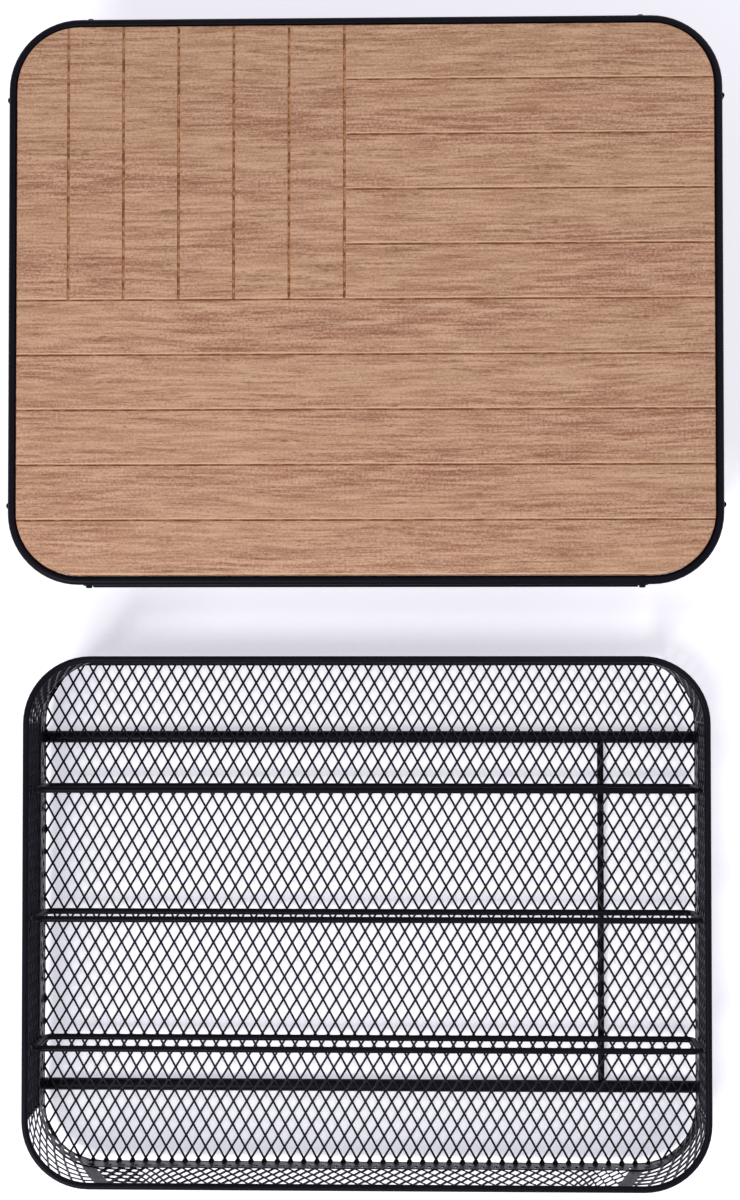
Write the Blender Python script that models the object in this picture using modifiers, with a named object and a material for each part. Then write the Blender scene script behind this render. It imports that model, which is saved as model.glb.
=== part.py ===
"""Coffee capsule stand with a pull-out mesh drawer.

A grooved wood board lies in a wire ring on a low wire stand. A mesh drawer with four capsule
rows stands on the same table in front of it and slides straight back under the board.
Metres, +Z up, +Y from the drawer's front to the stand's back. The origin is on the table,
at the centre of the whole object's box.
"""

import math

import bmesh
import bpy
from mathutils import Matrix, Vector

# Driving dimensions of the stand
STAND_HEIGHT = 0.065
WIRE_DIAMETER = 0.003
RING_WIRE_DIAMETER = 0.0038
RING_WIDTH = 0.314
RING_DEPTH = 0.250
RING_CORNER_RADIUS = 0.0315
BOARD_THICKNESS = 0.005
BOARD_EDGE_GAP = 0.0003
BOARD_CORNER_RADIUS = 0.0295
BOARD_EDGE_CHAMFER = 0.0006
BOARD_STRIP_COUNT = 10
GROOVE_WIDTH = 0.001
GROOVE_DEPTH = 0.0008
GROOVE_SPLIT_X = -0.0087
GROOVE_COLUMN_SPACING = 0.0243
GROOVE_COLUMN_COUNT = 6
BOARD_WIRE_INSET = 0.0355
BOARD_WIRE_OVERHANG = 0.0013
LEG_INSET = 0.035
LEG_OVERHANG = 0.0012
LEG_BEND_RADIUS = 0.008
FRONT_RAIL_OVERHANG = 0.001
STOP_DEPTH = 0.014
STOP_BEND_RADIUS = 0.006
TAB_LENGTH = 0.014
TAB_WIDTH = 0.012
TAB_THICKNESS = 0.0015
TAB_INSET = 0.070
SCREW_SHANK_DIAMETER = 0.0025
SCREW_HEAD_DIAMETER = 0.0055
SCREW_HEAD_HEIGHT = 0.0015
SCREW_HEAD_CHAMFER = 0.0005
SCREW_BITE = 0.003

# Driving dimensions of the drawer
DRAWER_SIDE_CLEARANCE = 0.00315
DRAWER_END_INSET = 0.0074
RIM_HEIGHT = 0.0515
RIM_CORNER_RADIUS = 0.030
MESH_THICKNESS = 0.0012
STRAND_WIDTH = 0.0024
ROD_DIAMETER = 0.005
ROD_INSET = 0.03735
TIE_ROD_DIAMETER = 0.0026
TIE_ROD_INSET = 0.045
DIVIDER_WIRE_DIAMETER = 0.0024
DIVIDER_SPACING = 0.0577
DIVIDER_HEIGHT = 0.0342
DIVIDER_CORNER_RADIUS = 0.004

# How the drawer stands in front of the stand, and the clearances between pieces
DRAWER_TO_STAND_GAP = 0.0312
SEAT_GAP = 0.0003
SCREW_CLEARANCE = 0.0003
CUT_OVERRUN = 0.002
WELD_DISTANCE = 0.00001

# Counts of facets and of mesh openings
WIRE_BEVEL_RESOLUTION = 4
WIRE_SIDES = 12
SCREW_SIDES = 10
LOOP_CORNER_STEPS = 6
BEND_STEPS = 4
PANEL_CORNER_STEPS = 4
BOARD_CORNER_STEPS = 8
FLOOR_COLUMN_COUNT = 12
FLOOR_ROW_COUNT = 6
LONG_WALL_COLUMN_COUNT = 10
LONG_WALL_ROW_COUNT = 1
SHORT_WALL_COLUMN_COUNT = 5
SHORT_WALL_ROW_COUNT = 2
CORNER_COLUMN_COUNT = 2
CORNER_ROW_COUNT = 1
SMALLEST_OPENING_SHARE = 1.3

QUARTER_TURN = math.pi / 2


def flat_radius(diameter):
    """Distance from a wire's centre line to the flats of its faceted round."""
    return diameter / 2 * math.cos(math.pi / WIRE_SIDES)


# Heights of the stand, from the board down
WIRE_FLAT = flat_radius(WIRE_DIAMETER)
RING_FLAT = flat_radius(RING_WIRE_DIAMETER)
BOARD_BOTTOM = STAND_HEIGHT - BOARD_THICKNESS
RING_Z = BOARD_BOTTOM + RING_FLAT
BOARD_WIRE_Z = BOARD_BOTTOM - SEAT_GAP - WIRE_FLAT
CROSS_WIRE_Z = BOARD_WIRE_Z - 2 * WIRE_FLAT - SEAT_GAP
TAB_BOTTOM = BOARD_BOTTOM - SEAT_GAP - TAB_THICKNESS

# Plan of the stand, from its own centre
BOARD_WIDTH = RING_WIDTH - 2 * (2 * RING_FLAT + BOARD_EDGE_GAP)
BOARD_DEPTH = RING_DEPTH - 2 * (2 * RING_FLAT + BOARD_EDGE_GAP)
BOARD_WIRE_X = RING_WIDTH / 2 - BOARD_WIRE_INSET
LEG_X = RING_WIDTH / 2 + LEG_OVERHANG - WIRE_FLAT
LEG_Y = RING_DEPTH / 2 - LEG_INSET
CROSS_WIRE_Y = LEG_Y - 2 * WIRE_FLAT - SEAT_GAP
TAB_X = BOARD_WIRE_X - WIRE_FLAT - SEAT_GAP - TAB_LENGTH / 2
TAB_Y = RING_DEPTH / 2 - TAB_INSET

# The drawer's rim, which fits between the legs and stops short of the ring's front and back
RIM_WIDTH = 2 * (LEG_X - WIRE_FLAT - DRAWER_SIDE_CLEARANCE)
RIM_DEPTH = RING_DEPTH - 2 * DRAWER_END_INSET

# Heights of the drawer, from the table up
ROD_FLAT = flat_radius(ROD_DIAMETER)
RIM_Z = RIM_HEIGHT - WIRE_FLAT
FLOOR_BOTTOM = 2 * ROD_FLAT + SEAT_GAP
FLOOR_TOP = FLOOR_BOTTOM + MESH_THICKNESS
WALL_TOP = RIM_Z - WIRE_FLAT - SEAT_GAP
WALL_HEIGHT = WALL_TOP - FLOOR_BOTTOM
DIVIDER_BOTTOM = FLOOR_TOP + SEAT_GAP

# Plan of the drawer, from its own centre: the walls stand under the rim's centre line
WALL_X = RIM_WIDTH / 2 - WIRE_FLAT
WALL_Y = RIM_DEPTH / 2 - WIRE_FLAT
WALL_CORNER_RADIUS = RIM_CORNER_RADIUS - WIRE_FLAT
FLOOR_INSET = MESH_THICKNESS / 2 + SEAT_GAP
ROD_Y = RIM_DEPTH / 2 - ROD_INSET
TIE_ROD_X = RIM_WIDTH / 2 - TIE_ROD_INSET

# Where the two stand, and where the drawer stops once it is centred under the ring
OVERALL_DEPTH = RIM_DEPTH + DRAWER_TO_STAND_GAP + RING_DEPTH + BOARD_WIRE_OVERHANG
DRAWER_Y = -OVERALL_DEPTH / 2 + RIM_DEPTH / 2
STAND_Y = OVERALL_DEPTH / 2 - BOARD_WIRE_OVERHANG - RING_DEPTH / 2
STOP_Y = RIM_DEPTH / 2 + SEAT_GAP + WIRE_FLAT


def clear_scene():
    for item in list(bpy.data.objects):
        bpy.data.objects.remove(item, do_unlink=True)


def make_collection(name):
    collection = bpy.data.collections.new(name)
    bpy.context.scene.collection.children.link(collection)
    return collection


def make_material(name, colour, roughness, metallic):
    material = bpy.data.materials.new(name)
    material.use_nodes = True
    shader = material.node_tree.nodes["Principled BSDF"]
    shader.inputs["Base Color"].default_value = (*colour, 1.0)
    shader.inputs["Roughness"].default_value = roughness
    shader.inputs["Metallic"].default_value = metallic
    return material


def make_empty(name, y):
    """An empty on the slide's axis, which carries the pieces of one moving group."""
    empty = bpy.data.objects.new(name, None)
    empty.location = (0, y, 0)
    parts.objects.link(empty)
    return empty


def add_object(name, data, parent, material):
    obj = bpy.data.objects.new(name, data)
    parts.objects.link(obj)
    obj.parent = parent
    if material is not None:
        data.materials.append(material)
    return obj


def add_cutter(name, data, parent):
    cutter = bpy.data.objects.new(name, data)
    cutters.objects.link(cutter)
    cutter.parent = parent
    cutter.hide_render = True
    cutter.display_type = "WIRE"
    return cutter


def cut(obj, cutter):
    modifier = obj.modifiers.new("Cut " + cutter.name, "BOOLEAN")
    modifier.operation = "DIFFERENCE"
    modifier.solver = "EXACT"
    modifier.object = cutter


def mesh_from(bm, name):
    mesh = bpy.data.meshes.new(name)
    bm.to_mesh(mesh)
    bm.free()
    return mesh


def arc(centre, radius, start, end, steps):
    """Points of an arc in the plane, both ends included."""
    points = []
    for i in range(steps + 1):
        angle = start + (end - start) * i / steps
        points.append(centre + radius * Vector((math.cos(angle), math.sin(angle))))
    return points


def rounded_rectangle(width, depth, radius, steps):
    """Outline of a rectangle with round corners, anticlockwise from the right side."""
    corner_x = width / 2 - radius
    corner_y = depth / 2 - radius
    corners = ((corner_x, corner_y), (-corner_x, corner_y), (-corner_x, -corner_y), (corner_x, -corner_y))
    points = []
    for i, corner in enumerate(corners):
        start = i * QUARTER_TURN
        points += arc(Vector(corner), radius, start, start + QUARTER_TURN, steps)
    return points


def hanging_u(width, top, bottom, radius, steps):
    """Centre line of a U: down the left leg, along the foot, up the right leg."""
    left_bend = Vector((-width / 2 + radius, bottom + radius))
    right_bend = Vector((width / 2 - radius, bottom + radius))
    points = [Vector((-width / 2, top))]
    points += arc(left_bend, radius, math.pi, math.pi + QUARTER_TURN, steps)
    points += arc(right_bend, radius, -QUARTER_TURN, 0, steps)
    points.append(Vector((width / 2, top)))
    return points


def wire(name, points, diameter, closed, parent, material):
    """A bent wire along its centre line, with flats facing the axes."""
    curve = bpy.data.curves.new(name, "CURVE")
    curve.dimensions = "3D"
    curve.bevel_depth = diameter / 2
    curve.bevel_resolution = WIRE_BEVEL_RESOLUTION
    curve.use_fill_caps = True
    spline = curve.splines.new("POLY")
    spline.points.add(len(points) - 1)
    for spline_point, point in zip(spline.points, points):
        spline_point.co = (*point, 1.0)
        spline_point.tilt = math.pi / WIRE_SIDES
    spline.use_cyclic_u = closed
    return add_object(name, curve, parent, material)


def rod(name, axis, length, diameter, centre, parent, material):
    """A straight wire along X or Y, with flats facing the axes."""
    bm = bmesh.new()
    bmesh.ops.create_cone(
        bm,
        cap_ends=True,
        segments=WIRE_SIDES,
        radius1=diameter / 2,
        radius2=diameter / 2,
        depth=length,
        matrix=Matrix.Rotation(math.pi / WIRE_SIDES, 4, "Z"),
    )
    turn_axis = "Y" if axis == "X" else "X"
    bmesh.ops.rotate(bm, verts=bm.verts, matrix=Matrix.Rotation(QUARTER_TURN, 3, turn_axis))
    obj = add_object(name, mesh_from(bm, name), parent, material)
    obj.location = centre
    return obj


def box_into(bm, size, centre):
    matrix = Matrix.Translation(centre) @ Matrix.Diagonal((*size, 1.0))
    bmesh.ops.create_cube(bm, size=1.0, matrix=matrix)


def cylinder_into(bm, radius, bottom, top, x, y, sides):
    bmesh.ops.create_cone(
        bm,
        cap_ends=True,
        segments=sides,
        radius1=radius,
        radius2=radius,
        depth=top - bottom,
        matrix=Matrix.Translation((x, y, (bottom + top) / 2)),
    )


# Lattice panels


def lattice(width, height, column_count, row_count):
    """A flat sheet of diamonds: each cell is poked to a cross and its sides are dissolved."""
    bm = bmesh.new()
    bmesh.ops.create_grid(bm, x_segments=column_count, y_segments=row_count, size=0.5)
    bmesh.ops.scale(bm, verts=bm.verts, vec=(width, height, 1.0))
    cell_sides = [edge for edge in bm.edges if not edge.is_boundary]
    bmesh.ops.poke(bm, faces=bm.faces)
    bmesh.ops.dissolve_edges(bm, edges=cell_sides, use_verts=False)
    return bm


def open_diamonds(bm):
    """Leave a strand round every diamond that is wide enough, and take its middle out."""
    strand = STRAND_WIDTH / 2
    wide = []
    for face in bm.faces:
        inner_radius = 2 * face.calc_area() / face.calc_perimeter()
        if inner_radius > SMALLEST_OPENING_SHARE * strand:
            wide.append(face)
    bmesh.ops.inset_individual(bm, faces=wide, thickness=strand, use_even_offset=True)
    bmesh.ops.delete(bm, geom=wide, context="FACES")


def round_off(bm, width, height, radius, steps):
    """Trim a sheet's four corners along the chords of an arc."""
    step = QUARTER_TURN / steps
    reach = radius * math.cos(step / 2)
    for side_x, side_y in ((1, 1), (-1, 1), (-1, -1), (1, -1)):
        centre = Vector((side_x * (width / 2 - radius), side_y * (height / 2 - radius), 0))
        for i in range(steps):
            angle = (i + 0.5) * step
            normal = Vector((side_x * math.cos(angle), side_y * math.sin(angle), 0))
            bmesh.ops.bisect_plane(
                bm,
                geom=bm.verts[:] + bm.edges[:] + bm.faces[:],
                dist=WELD_DISTANCE,
                plane_co=centre + reach * normal,
                plane_no=normal,
                clear_outer=True,
            )


def split_long_sides(bm, height):
    """Halve each edge along a sheet's top and bottom, so that they follow a bend closely."""
    reach = height / 2 - WELD_DISTANCE
    long_sides = []
    for edge in bm.edges:
        heights = [vert.co.y for vert in edge.verts]
        if min(heights) > reach or max(heights) < -reach:
            long_sides.append(edge)
    bmesh.ops.subdivide_edges(bm, edges=long_sides, cuts=1)


def bend_round(bm, radius, sweep):
    """Wrap a sheet that stands on its lower edge round a quarter cylinder about +Z."""
    length = radius * sweep
    for vert in bm.verts:
        angle = (vert.co.x / length + 0.5) * sweep
        vert.co = Vector((radius * math.cos(angle), radius * math.sin(angle), vert.co.y))


def thicken(obj):
    modifier = obj.modifiers.new("Sheet thickness", "SOLIDIFY")
    modifier.thickness = MESH_THICKNESS
    modifier.offset = 0
    modifier.use_even_offset = True


def floor_panel(name, parent, material):
    width = 2 * (WALL_X - FLOOR_INSET)
    depth = 2 * (WALL_Y - FLOOR_INSET)
    bm = lattice(width, depth, FLOOR_COLUMN_COUNT, FLOOR_ROW_COUNT)
    round_off(bm, width, depth, WALL_CORNER_RADIUS - FLOOR_INSET, PANEL_CORNER_STEPS)
    open_diamonds(bm)
    obj = add_object(name, mesh_from(bm, name), parent, material)
    obj.location = (0, 0, (FLOOR_BOTTOM + FLOOR_TOP) / 2)
    thicken(obj)
    return obj


def wall_panel(name, bm, centre, turn, parent, material):
    """A flat wall panel between two corner panels, from its sheet of diamonds, turned about +Z."""
    open_diamonds(bm)
    bmesh.ops.rotate(bm, verts=bm.verts, matrix=Matrix.Rotation(QUARTER_TURN, 3, "X"))
    obj = add_object(name, mesh_from(bm, name), parent, material)
    obj.location = (*centre, FLOOR_BOTTOM + WALL_HEIGHT / 2)
    obj.rotation_euler = (0, 0, turn)
    thicken(obj)
    return obj


def corner_panel(name, side_x, side_y, turn, parent, material):
    """A quarter-round wall panel, which stays a seat gap short of its neighbours."""
    sweep = QUARTER_TURN - SEAT_GAP / WALL_CORNER_RADIUS
    bm = lattice(WALL_CORNER_RADIUS * sweep, WALL_HEIGHT, CORNER_COLUMN_COUNT, CORNER_ROW_COUNT)
    split_long_sides(bm, WALL_HEIGHT)
    open_diamonds(bm)
    bend_round(bm, WALL_CORNER_RADIUS, sweep)
    bmesh.ops.rotate(bm, verts=bm.verts, matrix=Matrix.Rotation(SEAT_GAP / WALL_CORNER_RADIUS / 2, 3, "Z"))
    bmesh.ops.rotate(bm, verts=bm.verts, matrix=Matrix.Rotation(turn, 3, "Z"))
    obj = add_object(name, mesh_from(bm, name), parent, material)
    corner_x = side_x * (WALL_X - WALL_CORNER_RADIUS)
    corner_y = side_y * (WALL_Y - WALL_CORNER_RADIUS)
    obj.location = (corner_x, corner_y, FLOOR_BOTTOM + WALL_HEIGHT / 2)
    thicken(obj)
    return obj


# Pieces of the stand


def top_ring(parent, material):
    outline = rounded_rectangle(
        RING_WIDTH - 2 * RING_FLAT, RING_DEPTH - 2 * RING_FLAT, RING_CORNER_RADIUS - RING_FLAT, LOOP_CORNER_STEPS
    )
    points = [(point.x, point.y, RING_Z) for point in outline]
    wire("top_ring", points, RING_WIRE_DIAMETER, True, parent, material)


def board_outline(name):
    """The board's plain slab, as a mesh."""
    curve = bpy.data.curves.new(name, "CURVE")
    curve.dimensions = "2D"
    curve.fill_mode = "BOTH"
    curve.extrude = BOARD_THICKNESS / 2
    outline = rounded_rectangle(BOARD_WIDTH, BOARD_DEPTH, BOARD_CORNER_RADIUS, BOARD_CORNER_STEPS)
    spline = curve.splines.new("POLY")
    spline.points.add(len(outline) - 1)
    for spline_point, point in zip(spline.points, outline):
        spline_point.co = (point.x, point.y, 0, 1.0)
    spline.use_cyclic_u = True
    guide = bpy.data.objects.new(name, curve)
    parts.objects.link(guide)
    evaluated = guide.evaluated_get(bpy.context.evaluated_depsgraph_get())
    mesh = bpy.data.meshes.new_from_object(evaluated)
    bpy.data.objects.remove(guide, do_unlink=True)
    bm = bmesh.new()
    bm.from_mesh(mesh)
    bmesh.ops.remove_doubles(bm, verts=bm.verts, dist=WELD_DISTANCE)
    bmesh.ops.recalc_face_normals(bm, faces=bm.faces)
    bm.to_mesh(mesh)
    bm.free()
    return mesh


def row_groove_cutter(parent):
    """Grooves from side to side: full width in the front half, right of the split behind it."""
    bm = bmesh.new()
    pitch = BOARD_DEPTH / BOARD_STRIP_COUNT
    right_end = BOARD_WIDTH / 2 + CUT_OVERRUN
    half_count = BOARD_STRIP_COUNT // 2
    height = GROOVE_DEPTH + CUT_OVERRUN
    centre_z = STAND_HEIGHT - GROOVE_DEPTH + height / 2
    for row in range(1 - half_count, half_count):
        left_end = GROOVE_SPLIT_X if row > 0 else -right_end
        size = (right_end - left_end, GROOVE_WIDTH, height)
        box_into(bm, size, ((left_end + right_end) / 2, row * pitch, centre_z))
    return add_cutter("row_grooves", mesh_from(bm, "row_grooves"), parent)


def column_groove_cutter(parent):
    """Grooves from the back edge to the board's middle row groove, left of the split."""
    bm = bmesh.new()
    back_end = BOARD_DEPTH / 2 + CUT_OVERRUN
    height = GROOVE_DEPTH + CUT_OVERRUN
    centre_z = STAND_HEIGHT - GROOVE_DEPTH + height / 2
    for column in range(GROOVE_COLUMN_COUNT):
        x = GROOVE_SPLIT_X - column * GROOVE_COLUMN_SPACING
        box_into(bm, (GROOVE_WIDTH, back_end, height), (x, back_end / 2, centre_z))
    return add_cutter("column_grooves", mesh_from(bm, "column_grooves"), parent)


def screw_places():
    """Places of the board's screws, one in the middle of each tab."""
    return [(side * TAB_X, end * TAB_Y) for side in (-1, 1) for end in (-1, 1)]


def pilot_hole_cutter(parent):
    bm = bmesh.new()
    radius = SCREW_SHANK_DIAMETER / 2 + SCREW_CLEARANCE
    top = BOARD_BOTTOM + SCREW_BITE + SCREW_CLEARANCE
    for x, y in screw_places():
        cylinder_into(bm, radius, TAB_BOTTOM - CUT_OVERRUN, top, x, y, SCREW_SIDES)
    return add_cutter("pilot_holes", mesh_from(bm, "pilot_holes"), parent)


def wood_board(parent, material, holes):
    obj = add_object("wood_board", board_outline("wood_board"), parent, material)
    obj.location = (0, 0, STAND_HEIGHT - BOARD_THICKNESS / 2)
    chamfer = obj.modifiers.new("Edge chamfer", "BEVEL")
    chamfer.width = BOARD_EDGE_CHAMFER
    chamfer.segments = 1
    chamfer.limit_method = "ANGLE"
    chamfer.angle_limit = QUARTER_TURN / 2
    cut(obj, row_groove_cutter(parent))
    cut(obj, column_groove_cutter(parent))
    cut(obj, holes)


def board_wires(parent, material):
    length = RING_DEPTH + 2 * BOARD_WIRE_OVERHANG
    for name, side in (("board_wire_left", -1), ("board_wire_right", 1)):
        centre = (side * BOARD_WIRE_X, 0, BOARD_WIRE_Z)
        rod(name, "Y", length, WIRE_DIAMETER, centre, parent, material)


def cross_wires(parent, material):
    for name, side in (("cross_wire_front", -1), ("cross_wire_back", 1)):
        centre = (0, side * CROSS_WIRE_Y, CROSS_WIRE_Z)
        rod(name, "X", 2 * LEG_X, WIRE_DIAMETER, centre, parent, material)


def side_frames(parent, material):
    """Each side's leg, runner and leg, bent from one wire that stands on the table."""
    top = BOARD_BOTTOM - SEAT_GAP
    outline = hanging_u(2 * LEG_Y, top, WIRE_FLAT, LEG_BEND_RADIUS, BEND_STEPS)
    for name, side in (("side_frame_left", -1), ("side_frame_right", 1)):
        points = [(side * LEG_X, point.x, point.y) for point in outline]
        wire(name, points, WIRE_DIAMETER, False, parent, material)


def front_rail(parent, material):
    length = 2 * (BOARD_WIRE_X - WIRE_FLAT - SEAT_GAP)
    y = -(RING_DEPTH / 2 + FRONT_RAIL_OVERHANG - WIRE_FLAT)
    rod("front_rail", "X", length, WIRE_DIAMETER, (0, y, BOARD_WIRE_Z), parent, material)


def back_stop(parent, material):
    """A hanging wire between the board wires, which the closed drawer's rim meets."""
    width = 2 * (BOARD_WIRE_X - 2 * WIRE_FLAT - SEAT_GAP)
    top = BOARD_BOTTOM - SEAT_GAP
    outline = hanging_u(width, top, top - STOP_DEPTH, STOP_BEND_RADIUS, BEND_STEPS)
    points = [(point.x, STOP_Y, point.y) for point in outline]
    wire("back_stop", points, WIRE_DIAMETER, False, parent, material)


def board_tabs(parent, material, holes):
    for i, (x, y) in enumerate(screw_places()):
        name = f"board_tab_{i + 1}"
        bm = bmesh.new()
        box_into(bm, (TAB_LENGTH, TAB_WIDTH, TAB_THICKNESS), (0, 0, 0))
        obj = add_object(name, mesh_from(bm, name), parent, material)
        obj.location = (x, y, TAB_BOTTOM + TAB_THICKNESS / 2)
        cut(obj, holes)


def screw_mesh():
    """One screw, head down, turned from its profile about its own axis."""
    head_radius = SCREW_HEAD_DIAMETER / 2
    shank_radius = SCREW_SHANK_DIAMETER / 2
    head_top = TAB_BOTTOM - SEAT_GAP
    head_bottom = head_top - SCREW_HEAD_HEIGHT
    tip = BOARD_BOTTOM + SCREW_BITE
    profile = (
        (0, tip),
        (shank_radius - SCREW_HEAD_CHAMFER, tip),
        (shank_radius, tip - SCREW_HEAD_CHAMFER),
        (shank_radius, head_top),
        (head_radius, head_top),
        (head_radius, head_bottom + SCREW_HEAD_CHAMFER),
        (head_radius - SCREW_HEAD_CHAMFER, head_bottom),
        (0, head_bottom),
    )
    bm = bmesh.new()
    verts = [bm.verts.new((x, 0, z)) for x, z in profile]
    for start, end in zip(verts, verts[1:]):
        bm.edges.new((start, end))
    guide = bpy.data.objects.new("screw_profile", mesh_from(bm, "screw_profile"))
    parts.objects.link(guide)
    turn = guide.modifiers.new("Turn", "SCREW")
    turn.steps = SCREW_SIDES
    turn.render_steps = SCREW_SIDES
    turn.use_merge_vertices = True
    turn.merge_threshold = WELD_DISTANCE
    evaluated = guide.evaluated_get(bpy.context.evaluated_depsgraph_get())
    mesh = bpy.data.meshes.new_from_object(evaluated)
    bpy.data.objects.remove(guide, do_unlink=True)
    return mesh


def tab_screws(parent, material):
    single = screw_mesh()
    single.materials.append(material)
    for i, (x, y) in enumerate(screw_places()):
        obj = add_object(f"tab_screw_{i + 1}", single, parent, None)
        obj.location = (x, y, 0)


# Pieces of the drawer


def drawer_rim(parent, material):
    outline = rounded_rectangle(2 * WALL_X, 2 * WALL_Y, WALL_CORNER_RADIUS, LOOP_CORNER_STEPS)
    points = [(point.x, point.y, RIM_Z) for point in outline]
    wire("drawer_rim", points, WIRE_DIAMETER, True, parent, material)


def drawer_walls(parent, material):
    long_length = 2 * (WALL_X - WALL_CORNER_RADIUS) - SEAT_GAP
    short_length = 2 * (WALL_Y - WALL_CORNER_RADIUS) - SEAT_GAP
    for name, side in (("wall_front", -1), ("wall_back", 1)):
        bm = lattice(long_length, WALL_HEIGHT, LONG_WALL_COLUMN_COUNT, LONG_WALL_ROW_COUNT)
        wall_panel(name, bm, (0, side * WALL_Y), 0, parent, material)
    for name, side in (("wall_left", -1), ("wall_right", 1)):
        bm = lattice(short_length, WALL_HEIGHT, SHORT_WALL_COLUMN_COUNT, SHORT_WALL_ROW_COUNT)
        wall_panel(name, bm, (side * WALL_X, 0), QUARTER_TURN, parent, material)
    corner_panel("corner_back_right", 1, 1, 0, parent, material)
    corner_panel("corner_back_left", -1, 1, QUARTER_TURN, parent, material)
    corner_panel("corner_front_left", -1, -1, 2 * QUARTER_TURN, parent, material)
    corner_panel("corner_front_right", 1, -1, 3 * QUARTER_TURN, parent, material)


def dividers(parent, material):
    """Closed upright loops, from wall to wall, that stand on the floor."""
    flat = flat_radius(DIVIDER_WIRE_DIAMETER)
    width = 2 * (WALL_X - FLOOR_INSET - flat)
    height = DIVIDER_HEIGHT - 2 * flat
    outline = rounded_rectangle(width, height, DIVIDER_CORNER_RADIUS, BEND_STEPS)
    centre_z = DIVIDER_BOTTOM + DIVIDER_HEIGHT / 2
    for name, place in (("divider_front", -1), ("divider_middle", 0), ("divider_back", 1)):
        points = [(point.x, place * DIVIDER_SPACING, centre_z + point.y) for point in outline]
        wire(name, points, DIVIDER_WIRE_DIAMETER, True, parent, material)


def floor_rods(parent, material):
    for name, side in (("floor_rod_front", -1), ("floor_rod_back", 1)):
        centre = (0, side * ROD_Y, ROD_FLAT)
        rod(name, "X", 2 * WALL_X, ROD_DIAMETER, centre, parent, material)
    tie_length = 2 * (ROD_Y - ROD_FLAT - SEAT_GAP)
    rod("tie_rod", "Y", tie_length, TIE_ROD_DIAMETER, (TIE_ROD_X, 0, ROD_FLAT), parent, material)


def smooth_round_pieces():
    for obj in parts.objects:
        if obj.type == "MESH":
            obj.data.shade_smooth()
            obj.data.set_sharp_from_angle(angle=QUARTER_TURN / 2)


clear_scene()
parts = make_collection("capsule_stand")
cutters = make_collection("cutters")

black_wire = make_material("black_wire", (0.012, 0.011, 0.016), 0.42, 0.0)
black_mesh = make_material("black_mesh", (0.014, 0.012, 0.018), 0.5, 0.0)
oiled_wood = make_material("oiled_wood", (0.42, 0.26, 0.17), 0.6, 0.0)
plated_steel = make_material("plated_steel", (0.55, 0.55, 0.57), 0.3, 1.0)

stand = make_empty("stand", STAND_Y)
drawer = make_empty("drawer", DRAWER_Y)

holes_in_stand = pilot_hole_cutter(stand)
top_ring(stand, black_wire)
wood_board(stand, oiled_wood, holes_in_stand)
board_wires(stand, black_wire)
cross_wires(stand, black_wire)
side_frames(stand, black_wire)
front_rail(stand, black_wire)
back_stop(stand, black_wire)
board_tabs(stand, black_wire, holes_in_stand)
tab_screws(stand, plated_steel)

drawer_rim(drawer, black_wire)
floor_panel("floor_mesh", drawer, black_mesh)
drawer_walls(drawer, black_mesh)
dividers(drawer, black_wire)
floor_rods(drawer, black_wire)

smooth_round_pieces()
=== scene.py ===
"""Looks of the capsule drawer and its wood-topped wire stand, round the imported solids.

Metres, +Z up, +Y from the drawer's front to the stand's back. A piece takes its place and its
main sizes from the solid that it stands for.
"""

import math

import bmesh
import bpy
from mathutils import Matrix, Vector


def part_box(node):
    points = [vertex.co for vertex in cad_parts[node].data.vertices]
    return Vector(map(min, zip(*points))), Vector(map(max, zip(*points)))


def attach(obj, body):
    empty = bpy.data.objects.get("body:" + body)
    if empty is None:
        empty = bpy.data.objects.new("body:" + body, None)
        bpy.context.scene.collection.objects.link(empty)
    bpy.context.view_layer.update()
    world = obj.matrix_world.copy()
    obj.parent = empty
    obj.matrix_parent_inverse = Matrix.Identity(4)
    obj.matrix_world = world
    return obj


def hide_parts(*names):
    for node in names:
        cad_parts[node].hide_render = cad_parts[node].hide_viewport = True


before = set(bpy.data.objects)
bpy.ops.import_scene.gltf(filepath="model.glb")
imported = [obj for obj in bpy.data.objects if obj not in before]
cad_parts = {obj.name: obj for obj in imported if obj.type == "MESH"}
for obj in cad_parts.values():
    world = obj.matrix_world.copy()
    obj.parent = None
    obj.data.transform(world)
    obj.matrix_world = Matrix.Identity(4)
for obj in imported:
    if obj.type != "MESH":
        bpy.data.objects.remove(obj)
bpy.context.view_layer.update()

QUARTER_TURN = math.pi / 2
MM = 0.001

# Camera, fitted to the photograph
CAMERA_PLACE = (0.02918795, -0.02580315, 1.02082)
CAMERA_TILT_BACK = math.radians(1.5888483)
CAMERA_TILT_SIDE = math.radians(1.6006010)
CAMERA_ROLL = math.radians(-0.06)
CAMERA_LENS_MM = 65.8233
CAMERA_SENSOR_MM = 36.0

# Studio. The floor's glow is seen straight or in reflections, and rises to white far out.
FLOOR_SIZE = 6.0
KEY_PLACE = (-0.75, -1.05, 1.45)
KEY_SIZE = 0.8
KEY_POWER = 25.0
FILL_PLACE = (0.9, 0.8, 1.3)
FILL_SIZE = 1.6
FILL_POWER = 8.0
SKY_STRENGTH = 0.30
FLOOR_GREY = 0.9
FLOOR_GLOW = (0.47, 0.47, 0.55)
FAR_FLOOR_GLOW = (1.0, 1.0, 1.0)
GLOW_RISE_START = 0.38
GLOW_RISE_END = 1.0

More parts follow.
